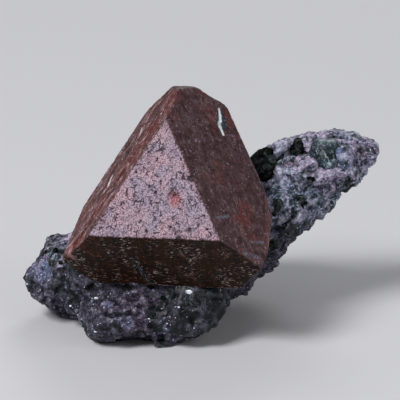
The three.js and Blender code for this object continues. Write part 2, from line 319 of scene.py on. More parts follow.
planes = crystal_planes()
_, front_face, right_face, _, left_face, _ = (plane[0] for plane in planes[:6])
front_triangle = planes[6][0]


def face_depths(points):
    """How far each point lies inside each plane of the crystal, in mm: a row for each plane."""
    local = (points - crystal_centre) / MM
    return np.array([distance - local @ outward for outward, distance, _ in planes])


def growth_lines(points, nearest):
    """For each point, its place in its own face: along the growth lines, across them, and the face."""
    apart = 10  # mm between one face's lines and the next one's, so that no two faces match
    local = (points - crystal_centre) / MM
    lines = np.zeros_like(local)
    for face, (outward, _, kind) in enumerate(planes):
        if kind == "triangle":
            continue
        # A face's lines run along its edge with the triangle that looks most nearly its own way.
        beside = max((p[0] for p in planes if p[2] == "triangle"), key=lambda other: other @ outward)
        along = np.cross(outward, beside)
        along /= np.linalg.norm(along)
        here = nearest == face
        lines[here, 0] = local[here] @ along
        lines[here, 1] = local[here] @ np.cross(outward, along)
        lines[here, 2] = apart * face
    return lines


# ---- trees that shape a surface


def shaping_tree(name, sizes):
    """A Geometry Nodes tree with a mesh, a material and a number for each named size going in."""
    made = bpy.data.node_groups.new(name, "GeometryNodeTree")
    made.interface.new_socket("Mesh", in_out="INPUT", socket_type="NodeSocketGeometry")
    made.interface.new_socket("Material", in_out="INPUT", socket_type="NodeSocketMaterial")
    for size in sizes:
        made.interface.new_socket(size, in_out="INPUT", socket_type="NodeSocketFloat")
    made.interface.new_socket("Mesh", in_out="OUTPUT", socket_type="NodeSocketGeometry")
    tree = Tree(made, "GeometryNodeInputPosition")
    return tree, tree.node("NodeGroupInput")


def close_tree(tree, given, mesh):
    """Ends a shaping tree: instances are made real, and the material is set."""
    real = tree.node("GeometryNodeRealizeInstances", {}, {"Geometry": mesh})
    dressed = tree.node("GeometryNodeSetMaterial", {}, {"Geometry": real, "Material": given.out("Material")})
    end = tree.made.nodes.new("NodeGroupOutput")
    tree.made.links.new(dressed.socket, end.inputs[0])
    return tree.made


def raised(tree, mesh, height):
    """The mesh with each point moved out along its normal by a height in mm."""
    offset = tree.scaled(tree.node("GeometryNodeInputNormal"), height * MM)
    return tree.node("GeometryNodeSetPosition", {}, {"Geometry": mesh, "Offset": offset})


def kept(tree, name, kind="FLOAT"):
    """What mark() kept on the mesh under a name."""
    return tree.node("GeometryNodeInputNamedAttribute", {"data_type": kind}, {"Name": name})


def keep(tree, mesh, name, value):
    """The mesh with a number kept on it, which materials can read."""
    inputs = {"Geometry": mesh, "Name": name, "Value": value}
    return tree.node("GeometryNodeStoreNamedAttribute", {"data_type": "FLOAT"}, inputs)


def broken_faces(tree, given, kind, place):
    """Flat breaks: each cell is a plane with a tilt of its own, which ends at a ledge or a crease."""
    cell = tree.cells(given.out(kind + " size"), at=place)
    lean = tree.vector("SUBTRACT", cell.out("Color"), (0.5, 0.5, 0.5))
    across = tree.vector("SUBTRACT", place, cell.out("Position"))
    return tree.vector("DOT_PRODUCT", across, lean) * given.out(kind + " tilt")


# ---- the crystal's surface

CRYSTAL_CELL, CRYSTAL_ROUNDS = 0.15, 2  # the side in mm of its surface's squares, and its smoothing
APEX_REACH, APEX_FADE, APEX_ROUNDS = 1.8, 0.8, 24  # mm below the apex, mm of fading, rounds of smoothing
EDGE_REACH = 0.45  # mm from an edge that are worn
CRYSTAL_RELIEF = {
    "Line width": 0.42, "Line height": 0.045, "Etch size": 0.5, "Etch depth": 0.07, "Edge wear": 0.1,
}
CRYSTAL_SWELL = 0.03  # mm

# How far each numbered plane goes towards a dark brown, painted shade on the underside, the faces turned
# away
# and the apex, and towards rust: 0 and 1 are the back and the front cube face, 2 and 3 the right one and its
# opposite, 4 and 5 the left and its opposite.
FACE_TONES = {
    "dark": {0: 0.1, 1: 1.0, 3: 0.6, 5: 0.6, APEX: 0.3},
    "rusty": {0: 0.3, 1: 0.1, 2: 0.15, 3: 0.4, 4: 1.0, 5: 0.4, APEX: 0.3, BRUISE: 1.6},
}

# Where the front triangle and its edges are broken: a place, and how wide in mm.
NOTCHES = [
    (0.76, -6.57, 5.35, 0.5), (-0.5, -9.14, 0, 0.4), (1.3, -7, 4.4, 0.3), (-3.65, -7.72, 0.26, 0.26),
    (0.57, -9.05, 0.91, 0.3), (-2.77, -6.06, 3.74, 0.26), (-2.6, -6.1, 3.5, 0.2), (-3.37, -5.56, 4.2, 0.2),
    (-4.66, -4.41, 5.28, 0.18), (-1.29, -8.32, 0.87, 0.22), (-0.2, -8.6, 1.5, 0.2),
    (2.33, -9.65, 1.11, 0.18),
]
NOTCH_DEPTH = 0.3  # mm


def crystal_tree():
    """Growth lines on the cube faces, etched pits on the triangles, and small breaks along the edges."""
    tree, given = shaping_tree("crystal_surface", CRYSTAL_RELIEF)
    frosted = kept(tree, "frosted")
    stretched = kept(tree, "lines", "FLOAT_VECTOR") * (0.12, 1, 1)
    ribs = tree.noise(given.out("Line width"), 2, 0.6, at=stretched) - 0.5
    pit = tree.cells(given.out("Etch size"))
    few = tree.step(pit.out("Color").axis(0), 0.62, 0.7)
    etch = tree.step(pit, 0.1, 0.42, -1.0, 0.0) * few
    swell = tree.noise(2.4) - 0.5
    worn = tree.step(tree.noise(0.7, 3, 0.6, seed=4), 0.5, 0.66) * kept(tree, "edge")
    height = (
        ribs * (1 - frosted) * given.out("Line height") * 2
        + etch * frosted * given.out("Etch depth")
        + swell * CRYSTAL_SWELL
        - worn * given.out("Edge wear")
        - kept(tree, "notch") * NOTCH_DEPTH
    )
    return close_tree(tree, given, raised(tree, given.out("Mesh"), height))


def crystal_surface(material):
    mesh = remeshed("zunyite_crystal", CRYSTAL_CELL, CRYSTAL_ROUNDS)
    rise = (points_of(mesh) - crystal_centre) @ planes[APEX][0] / MM
    rise = rise - rise.max() + APEX_REACH
    mesh = eased_where(mesh, np.clip(rise / APEX_FADE, 0, 1), APEX_ROUNDS)
    points = points_of(mesh)
    depths = face_depths(points)
    nearest, second = np.argsort(np.abs(depths), axis=0)[:2]
    every = np.arange(len(points))
    kinds = np.array([plane[2] for plane in planes])
    mark(mesh, "frosted", (kinds[nearest] == "triangle").astype(float))
    mark(mesh, "edge", np.clip(1 - np.abs(depths[second, every]) / EDGE_REACH, 0, 1))
    for name, shares in FACE_TONES.items():
        by_plane = np.array([shares.get(number, 0.0) for number in range(len(planes))])
        mark(mesh, name, by_plane[nearest])
    mark(mesh, "lines", growth_lines(points, nearest))
    local = (points - crystal_centre) / MM
    nicks = [1 - np.linalg.norm(local - middle, axis=1) / reach for *middle, reach in NOTCHES]
    mark(mesh, "notch", np.clip(np.max(nicks, axis=0) * 2, 0, 1))
    return through(crystal_tree(), mesh, CRYSTAL_RELIEF, material)


# ---- the rock's surface

ROCK_CELL, ROCK_ROUNDS = 0.165, 4  # mm, and rounds of smoothing
FIT_GAP = 0.3  # mm between the solids, closed here
GRIP_REACH, GRIP_BITE = 1.1, 0.06  # mm: how far out the pocket's wall follows, and how far it goes in
GRAIN_GRIP_REACH, GRAIN_GRIP = 1.0, 0.7  # mm, and the share of the fit gap that the rock closes
GRAIN_CORE = -0.4  # mm: what lies deeper in a grain isn't its pocket's wall
COLLAR_MIDDLE, COLLAR_WIDTH = 0.35, 0.55  # mm, the middle from the grain
FREE_FROM, FREE_FADE = 0.1, 0.5  # mm beyond the fit gap: where relief begins, and how soon it is full
ROOM_FADE, ROOM_SHARE = 0.6, 0.15  # mm from the CAD box's sides where relief sinks, and to what share
SPIKE_AROUND, SPIKE_HEIGHT = 12, (0.22, 0.45)  # rounds of blur, and mm from left alone to cut off
HOLLOW_AROUND = 9  # rounds of blur for the painted shade in hollows and painted highlight on bumps
PIT_DEPTH = 0.6  # mm
SPOT_MOST = 1.5  # the strength that a spot has at most
ROCK_RELIEF = {
    "Waviness": 0.3, "Break size": 2.6, "Break tilt": 0.34, "Grain size": 1.1, "Grain tilt": 0.48,
    "Shard size": 0.7, "Shard tilt": 0.8, "Crumb size": 0.5, "Crumb tilt": 0.85, "Dust size": 0.3,
    "Dust height": 0.12, "Collar height": 0.3, "Swell height": 0.5, "Ridge spacing": 2.1,
    "Ridge height": 0.1,
}

# A spot in the rock is a place, its reach in mm, and how strong it is.

# Where the CAD rock is too square or too sharp: the wing's tip, from its X in mm, and a crag at the back.
# Each has its rounds of smoothing.
WING_TIP_FROM, WING_TIP_ROUNDS = 16.4, 14
BACK_CRAG, BACK_CRAG_ROUNDS = (8.7, 11.48, 1.3, 0.6, 1.0), 120

GRAIN_NODES = ("quartz_grain_beside_crystal", "quartz_grain_in_wing", "quartz_grain_on_crest")
GRAIN_CELL, GRAIN_ROUNDS = 0.1, 3  # mm, and rounds of smoothing
GRAIN_GROWTH = 0.22  # mm: the grains grow into the fit gap, and the rock closes in on them
GRAIN_RELIEF = {"Break size": 1.1, "Break tilt": 0.42, "Ripple size": 0.3, "Ripple height": 0.05}

# Where the rock stands higher than the CAD rock, along the wing's crest, and where it is cut back, under the
# wing's tip, by so many times the swell of the crest.
WING_CREST = [(12.9, 5.2, 5.9, 0.7, 1.0), (13.7, 5.4, 6.1, 0.7, 1.0), (14.4, 5.7, 6.2, 0.6, 1.0)]
UNDER_TIP = [(19.3, 3.8, 3.3, 0.7, 1.0), (18.7, 3.4, 3.4, 0.5, 0.8)]
UNDER_TIP_DEPTH = 1.4

# What shows in the rock.
ROCK_SPOTS = {
    "glass": [  # dark broken quartz
        (-12.8, -0.1, -4.3, 0.7, 1), (-13.1, -0.9, -5.3, 0.5, 0.9), (-12.2, -1.7, -7.5, 0.9, 1),
        (-2.3, -6.6, -8.6, 0.9, 1), (-1.3, -6.4, -7.6, 1, 1), (-0.1, -6.8, -6.7, 1, 1),
        (0.5, -8, -7.9, 0.9, 1), (-2.7, -7.5, -9.8, 0.6, 0.9), (12.2, 3.5, 4.4, 0.5, 0.8),
        (12.8, 1.5, 2.9, 0.6, 1), (9.3, 0.1, 0.3, 0.6, 0.9), (12.5, 1.7, -0.2, 0.5, 0.8),
        (8.9, 3, -4.5, 0.8, 1), (10.7, 1.2, -2.6, 0.9, 0.9), (15.1, 2.3, 1.2, 0.4, 0.9),
        (14.6, 3.2, -0.4, 0.5, 0.8), (9.7, 4, 4, 0.8, 0.9), (9.7, 2.7, 3.8, 0.6, 1.1),
        (12.2, 0.8, 3.3, 0.35, 1.2), (11.7, 1, 0.6, 0.4, 1.1), (9.3, 0.4, 0, 0.4, 1.2),
        (14.6, 3.3, -0.8, 0.35, 1.1), (-12.3, -1.6, -7, 0.5, 1), (-11, -2.6, -5.8, 0.5, 1),
        (11.6, 0.8, -0.75, 0.3, 1.1),
    ],
    "slate": [  # smooth blue-grey quartz
        (1.6, -7.8, -9.2, 2.2, 1), (3, -7, -7.6, 1.5, 1), (3.4, -4.5, -10, 2.6, 1),
        (-11.2, -2.2, -8.6, 0.8, 0.9), (17.3, 2.9, 2.1, 0.9, 1.1), (16.5, 3.8, 0.9, 0.7, 0.9),
        (-14, 1, -4.2, 1, 0.8),
    ],
    "feather": [  # grey quartz with pale streaks
        (10.3, 3.5, 4.2, 0.7, 1.1), (10.8, 3.3, 3.6, 0.5, 1), (15.7, 1.9, 5.3, 0.45, 1.3),
        (15.9, 1.8, 4.7, 0.35, 1.2), (0.4, -6.9, -6.8, 0.5, 0.8), (-0.6, -7.4, -8.2, 0.5, 0.8),
        (-1.8, -7.6, -9.6, 0.5, 0.9), (-13.2, -0.6, -4.6, 0.5, 0.8), (-11.9, -1.6, -7.4, 0.5, 0.8),
        (9.9, 0.8, -1.6, 0.6, 0.9),
    ],
    "blush": [  # pink and white groundmass
        (-4.5, -7, -8.4, 2, 0.9), (-7.8, -6.1, -7.8, 1, 1), (-5.2, -8.1, -9.4, 0.7, 1),
        (-1.5, -7.9, -9, 0.6, 1), (-2.4, -6.6, -6.6, 0.8, 1), (-11.6, 1.6, -3.4, 1, 1),
        (-13.6, -0.4, -5.2, 1.3, 1.3), (-14.2, 0, -6.6, 1.1, 1.2), (13, 5, 5.7, 2, 0.8),
        (17.7, 3.7, 5.5, 1.6, 0.8), (11.7, 2.3, 4.1, 1.2, 1.2), (13.3, 2.1, 3.6, 1, 1.2),
        (14.7, 1.7, 2.6, 1.2, 1.2),
    ],
    "lilac": [
        (16.5, 1.9, 4.9, 0.75, 1.2), (-14.2, -0.5, -6.7, 0.9, 1.1), (-15.2, 1.4, -7.1, 0.7, 1),
        (-1.9, -7.5, -10.2, 0.5, 0.9), (-7.6, -6, -7.8, 0.5, 1.1), (-5.6, -8, -9.1, 0.5, 1),
    ],
    "pit": [(-9.28, -3.25, -7.18, 0.26, 1.2)],
}


def outside_crystal(points):
    """How far each point lies outside the crystal, in mm, and which way is out of its nearest face."""
    depths = face_depths(points)
    outward = np.array([plane[0] for plane in planes])
    return -depths.min(0), outward[depths.argmin(0)]


def pressed_to_crystal(points):
    """Moves the wall of the crystal's pocket in, so that the rock grips the crystal."""
    away, outward = outside_crystal(points)
    fade = np.clip((GRIP_REACH - away) / (GRIP_REACH - FIT_GAP), 0, 1)
    shift = (FIT_GAP + GRIP_BITE) * fade * fade * (3 - 2 * fade)
    return points - outward * (shift * MM)[:, None]


def outside_grain(points, node):
    """How far each point lies outside a grain, about, in mm, and which way is out of it."""
    low, high = (np.array(corner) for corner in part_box(node))
    middle, radii = (low + high) / 2, (high - low) / 2
    reach = np.linalg.norm((points - middle) / radii, axis=1)
    outward = (points - middle) / np.linalg.norm(points - middle, axis=1)[:, None]
    return (reach - 1) * radii.mean() / MM, outward


def pressed_to_grains(points):
    """Moves the wall of each grain's pocket in."""
    for node in GRAIN_NODES:
        away, outward = outside_grain(points, node)
        fade = np.clip((GRAIN_GRIP_REACH - away) / (GRAIN_GRIP_REACH - FIT_GAP), 0, 1)
        points = points - outward * (FIT_GAP * GRAIN_GRIP * MM * fade * (away > GRAIN_CORE))[:, None]
    return points


def collars(points):
    """How much the rock rises round each grain, from 0 to 1."""
    height = np.zeros(len(points))
    for node in GRAIN_NODES:
        away, _ = outside_grain(points, node)
        height = np.maximum(height, np.exp(-(((away - COLLAR_MIDDLE) / COLLAR_WIDTH) ** 2)))
    return height


def bent_place(tree, size, reach):
    """The place pushed about by noise of a size, so that breaks aren't quite flat."""
    sway = tree.vector("SUBTRACT", tree.noise(size, output="Color"), (0.5, 0.5, 0.5))
    return tree.vector("ADD", tree.place, tree.scaled(sway, reach))


def grain_tree():
    """Flat breaks with ripples, as glassy quartz breaks."""
    tree, given = shaping_tree("broken_quartz", GRAIN_RELIEF)
    bent = bent_place(tree, 0.8, 0.8)
    breaks = broken_faces(tree, given, "Break", bent)
    ripples = tree.noise(given.out("Ripple size"), 2, 0.6, at=bent * (1, 1, 2.5))
    height = breaks + (ripples - 0.5) * given.out("Ripple height") * 2 + GRAIN_GROWTH
    return close_tree(tree, given, raised(tree, given.out("Mesh"), height))


def spot_strength(points, spots):
    """How strong spots are at each point: each has its strength at its reach, and none twice as far."""
    local = (points - crystal_centre) / MM
    strength = np.zeros(len(points))
    for *middle, reach, most in spots:
        near = 1 - np.linalg.norm(local - middle, axis=1) / (2 * reach)
        strength = np.maximum(strength, most * np.clip(near, 0, 1) * 2)
    return np.clip(strength, 0, SPOT_MOST)


def blurred(tree, value, rounds, kind="FLOAT"):
    """A value averaged with those around it, over and over."""
    inputs = {"Value": value, "Iterations": rounds}
    return tree.node("GeometryNodeBlurAttribute", {"data_type": kind}, inputs)


def blunted(tree, mesh):
    """The mesh with its sharpest spikes pulled back to what is around them."""
    place = tree.node("GeometryNodeInputPosition")
    back = tree.vector("SUBTRACT", blurred(tree, place, SPIKE_AROUND, "FLOAT_VECTOR"), place)
    sharp = tree.step(tree.vector("LENGTH", back) / MM, *SPIKE_HEIGHT) * kept(tree, "free")
    return tree.node("GeometryNodeSetPosition", {}, {"Geometry": mesh, "Offset": tree.scaled(back, sharp)})


def rock_tree():
    """Flat breaks, grains, crumbs and dust, each smaller than the last, and smooth where the quartz is."""
    tree, given = shaping_tree("broken_rock", ROCK_RELIEF)
    bent = bent_place(tree, 0.9, given.out("Waviness"))
    breaks, grains, shards = (broken_faces(tree, given, kind, bent) for kind in ("Break", "Grain", "Shard"))
    crumbs = broken_faces(tree, given, "Crumb", tree.place)
    dust = (tree.noise(given.out("Dust size")) - 0.5) * given.out("Dust height") * 2
    glassy = tree.step(kept(tree, "glass"), 0.5, 0.9)
    smooth = tree.step(kept(tree, "slate"), 0.6, 1.0)
    height = breaks + (grains + crumbs * (1 - glassy)) * (1 - smooth * 0.5) + shards * glassy
    border = tree.cells(given.out("Ridge spacing"), "DISTANCE_TO_EDGE", at=bent)
    ridge = tree.step(border, 0.17, 0.05) * tree.step(tree.noise(1.6, seed=19), 0.42, 0.54)
    height = height + ridge * given.out("Ridge height") - kept(tree, "pit") * PIT_DEPTH
    height = height * kept(tree, "free") + kept(tree, "collar") * given.out("Collar height")
    height = height + kept(tree, "swell") * given.out("Swell height")
    height = blurred(tree, height, 1) + dust * kept(tree, "free") * (1 - smooth) * (1 - glassy)
    mesh = keep(tree, given.out("Mesh"), "ridge", ridge)
    # How far each point sinks below what is around it, for painted shade in hollows and highlight on bumps.
    mesh = keep(tree, mesh, "hollow", blurred(tree, height, HOLLOW_AROUND) - height)
    return close_tree(tree, given, blunted(tree, raised(tree, mesh, height)))


def rock_surface(material):
    mesh = remeshed("rock_matrix", ROCK_CELL, ROCK_ROUNDS)
    crag = np.clip(spot_strength(points_of(mesh), [BACK_CRAG]), 0, 1)
    mesh = eased_where(mesh, crag, BACK_CRAG_ROUNDS)
    beyond = points_of(mesh)[:, 0] / MM - WING_TIP_FROM
    mesh = eased_where(mesh, np.clip(beyond, 0, 1), WING_TIP_ROUNDS)
    points = points_of(mesh)
    away, _ = outside_crystal(points)
    low, high = (np.array(corner) for corner in cad_box)
    room = np.minimum(points - low, high - points).min(1) / MM
    free = np.clip((away - FIT_GAP - FREE_FROM) / FREE_FADE, 0, 1)
    mark(mesh, "free", free * np.clip(room / ROOM_FADE, ROOM_SHARE, 1))
    mark(mesh, "collar", collars(points))
    swell, cut = (np.clip(spot_strength(points, spots), 0, 1) for spots in (WING_CREST, UNDER_TIP))
    mark(mesh, "swell", swell - UNDER_TIP_DEPTH * cut)
    for name, spots in ROCK_SPOTS.items():
        mark(mesh, name, spot_strength(points, spots))
    move_points(mesh, pressed_to_grains(pressed_to_crystal(points)))
    return kept_in_box(through(rock_tree(), mesh, ROCK_RELIEF, material))


# ---- quartz chips on the rock

CHIP_SPREAD = {"Chips": 0.28, "Smallest": 0.05, "Largest": 0.13}  # in each square mm, and radii in mm
CHIP_SHAPE = (1.0, 0.7, 0.45)
FLAKE_SHAPE = (1.0, 0.62, 0.3)
SHARD_SHAPE = (1.0, 0.7, 0.75)
FLAKES_LOOK = Vector((-0.3, -1.0, 0.45))  # the way the brightest flakes face
SHARD_TURN = (2.4, 1.7, 0.9)  # radians round X, Y and Z from one shard to the next

# The brightest flakes: a place, and half the length in mm.
BRIGHT_FLAKES = [
    (0.56, -6.79, -6.41, 0.42), (-8.72, -3.98, -8.03, 0.26), (-8.64, -7.74, -10.06, 0.23),
    (-15.74, 1.76, -8.55, 0.18), (-11.37, -2.6, -9.37, 0.18), (-3.5, -7.34, -9.15, 0.16),
    (-0.43, -7.56, -7.71, 0.17), (-12.7, 0.06, -4.24, 0.16), (-14.23, -0.16, -6.93, 0.13),
    (-13.39, -1.22, -7.19, 0.13), (-1.31, -7.73, -8.7, 0.1), (-1.61, -7.88, -9.38, 0.13),
    (-1.71, -7.75, -9.95, 0.1), (-1.92, -7.15, -10.69, 0.14), (-0.72, -7.3, -7.9, 0.12),
    (-5.46, -8, -9.13, 0.09),
]

# Dark glassy shards that show in the rock, written in the same way.
DARK_SHARDS = [
    (12.56, 1.34, 3.04, 0.42), (12.97, 1.47, 2.68, 0.34), (12.19, 1.56, 0.12, 0.36),
    (11.78, 1.39, -0.14, 0.3), (11.57, 1.15, 0.68, 0.28), (9.35, 0.12, 0.17, 0.5), (9.05, 0.08, -0.55, 0.36),
    (14.67, 3.48, -0.93, 0.38), (13.62, 2.46, -0.17, 0.24), (19.14, 3.88, 4.87, 0.3),
    (10.97, 0.49, -0.9, 0.28), (10.2, 0.9, -2, 0.36), (-12.79, -0.12, -4.29, 0.4),
    (-12.37, -1.18, -5.19, 0.34), (-13.81, 0.12, -4.58, 0.3), (-2.02, -5.43, -7.52, 0.4),
    (-1.12, -6.22, -7.13, 0.36), (-3.2, -7.11, -9.03, 0.3), (-3.4, -7.59, -9.69, 0.34),
]


def chip_tree():
    """Small splinters scattered in drifts over a surface, each turned its own way."""
    tree, given = shaping_tree("quartz_chips", CHIP_SPREAD)
    drift = tree.step(tree.noise(1.8, seed=33), 0.4, 0.62)
    free = tree.step(kept(tree, "free"), 0.6, 1.0)
    density = drift * free * given.out("Chips") * 2 / MM**2
    scatter = {"Mesh": given.out("Mesh"), "Density": density, "Seed": 5}
    spread = tree.node("GeometryNodeDistributePointsOnFaces", {}, scatter)
    ball = tree.node("GeometryNodeMeshIcoSphere", {}, {"Radius": MM, "Subdivisions": 1})
    splinter = tree.node("GeometryNodeTransform", {}, {"Geometry": ball, "Scale": CHIP_SHAPE})
    angles = {"Min": (0, 0, 0), "Max": (math.tau, math.tau, math.tau), "Seed": 6}
    turn = tree.node("FunctionNodeRandomValue", {"data_type": "FLOAT_VECTOR"}, angles)
    radii = {2: given.out("Smallest"), 3: given.out("Largest")}
    size = tree.node("FunctionNodeRandomValue", {"data_type": "FLOAT"}, radii, 1)
    copies = {"Points": spread, "Instance": splinter, "Rotation": turn, "Scale": size}
    return close_tree(tree, given, tree.node("GeometryNodeInstanceOnPoints", {}, copies))


def stuck_on_rock(name, rock_mesh, spots, proportions, look, material):
    """Little splinters laid on the rock at the nearest place to each spot.

    They all face the same way, or each its own way where no look is given."""
    surface = bmesh.new()
    surface.from_mesh(rock_mesh)
    ground = BVHTree.FromBMesh(surface)
    surface.free()
    splinters = bmesh.new()
    for number, (*middle, reach) in enumerate(spots):
        spot, _, _, _ = ground.find_nearest(Vector(crystal_centre + np.array(middle) * MM))
        own = Euler([number * angle for angle in SHARD_TURN]).to_quaternion()
        turn = look.to_track_quat("Z", "Y") if look else own
        place = Matrix.LocRotScale(spot, turn, Vector(proportions) * reach * MM)
        bmesh.ops.create_icosphere(splinters, subdivisions=1, radius=1.0, matrix=place)
    mesh = bpy.data.meshes.new(name)
    splinters.to_mesh(mesh)
    splinters.free()
    mesh.materials.append(material)
    return placed(name, kept_in_box(mesh))


# ---- finishes


def finish_of(name, **constants):
    """A new material: its tree, and its shader with the sockets that are the same all over set."""
    made = bpy.data.materials.new(name)
    made.use_nodes = True
    shader = made.node_tree.nodes["Principled BSDF"]
    for socket, value in constants.items():
        shader.inputs[socket.replace("_", " ")].default_value = value
    return made, Tree(made.node_tree, "ShaderNodeTexCoord", "Object"), shader


def wire_up(tree, shader, **parts):
    for socket, value in parts.items():
        tree.made.links.new(value.socket, shader.inputs[socket.replace("_", " ")])


def on_mesh(tree, name, output="Fac"):
    """A value that mark() kept on the mesh, in a material."""
    return tree.node("ShaderNodeAttribute", {"attribute_name": name}, output=output)


def bumped(tree, height, depth, strength):
    """A normal for a height from 0 to 1 that stands for a depth in mm."""
    inputs = {"Strength": strength, "Distance": depth * MM, "Height": height}
    return tree.node("ShaderNodeBump", {}, inputs)


STROKE_DEPTH = 0.75  # the share of a distance along outward that isn't counted
STROKE_RIM = (0.2, 0.7)  # shares of its width: full within the first, and gone beyond the second


def stroke(tree, outward, start, end, width, wobble):
    """1 on a straight mark on the face that looks outward, and 0 off it.

    It runs between two places, and reaches further along outward than across it, so that it isn't lost in
    a hollow."""
    origin = crystal_centre / MM
    start, end = (Vector(origin + np.array(spot)) for spot in (start, end))
    run = end - start
    from_start = tree.vector("SUBTRACT", tree.place, tuple(start))
    share = tree.vector("DOT_PRODUCT", from_start, tuple(run / run.length_squared))
    share = share.at_most(1.0).at_least(0.0)
    off = tree.vector("SUBTRACT", from_start, tree.scaled(tuple(run), share))
    depth = tree.vector("DOT_PRODUCT", off, tuple(outward)) * STROKE_DEPTH
    flat = tree.vector("SUBTRACT", off, tree.scaled(tuple(outward), depth))
    core, rim = (width * share for share in STROKE_RIM)
    return tree.step(tree.vector("LENGTH", flat) + wobble, core, rim, 1.0, 0.0)


# Marks on the crystal: where each starts and ends, and its width in mm.
CHIP_MARKS = [
    ((3.54, 1.97, 9.87), (3.64, 1.4, 9.35), 0.24), ((3.64, 1.4, 9.35), (3.7, 0.88, 8.93), 0.32),
    ((3.56, 0.66, 8.82), (3.65, 0.28, 8.51), 0.42), ((3.65, 0.28, 8.51), (3.82, 0, 8.17), 0.3),
    ((3.86, -0.08, 8.1), (3.97, -0.26, 7.86), 0.26),
]
# Painted shadows beside the chip: teal, mostly on its right.
CHIP_SHADOWS = [
    ((3.85, 1.6, 9.35), (4.05, 0.5, 8.5), 0.62), ((3.95, 1.25, 9), (4.3, 1.42, 8.89), 0.3),
    ((3.5, 1.1, 9.1), (3.42, 0.66, 8.95), 0.4),
]
PALE_SMEARS = [
    ((3.21, -8.75, 1.99), (4.39, -7.85, 1.8), 0.42), ((6.86, -7.05, 0.55), (7.3, -6.83, 0.37), 0.3),
    ((6.65, -8.71, -0.55), (7.83, -7.95, -0.86), 0.4), ((6.05, -10.16, -1.19), (7.42, -9.69, -1.87), 0.5),
    ((4.78, 0.22, 7.61), (5.08, 0.37, 7.51), 0.26), ((5.08, 0.37, 7.51), (5.13, -0.37, 6.92), 0.24),
]
WHITE_GLINTS = [
    ((-7.52, -0.54, 2.59), (-7.14, 0.77, 3.22), 0.42), ((-4.34, 1.9, 7.26), (-4.15, 2.85, 7.6), 0.2),
    ((-7.95, -0.9, 1.95), (-7.9, -0.6, 2.1), 0.24),
]
# A painted highlight, pink, on the lower left corner.
CORNER_HIGHLIGHT = ((-11.5, -4.1, -3.6), (-11.0, -3.6, -2.9), 0.5)
VEIN = [
    ((-5.11, -6.2, -3.06), (-4.43, -5.8, -4.24), 0.4), ((-4.43, -5.8, -4.24), (-3.31, -5.22, -6.01), 0.52),
]
RED_BLOTCH = ((-1.0, -7.0, 3.6), (-0.8, -7.1, 3.2), 1.3)
# The right face is browner along the triangle and rustier along its outer edge.
BROWNER_BAND = ((0.9, -0.6, 10.3), (3.4, -9.2, 1.6), 3.6)
RUSTIER_BAND = ((6.0, -4.9, 2.8), (6.0, -9.2, -0.6), 3.0)


def dashes(tree, lines, repeat, rare):
    """Short dashes along the growth lines: 1 on a dash. The rarer, the fewer."""
    cell = tree.cells(1, at=lines * repeat)
    return tree.step(cell, 0.42, 0.26) * tree.step(cell.out("Color").axis(0), rare, rare + 0.06)


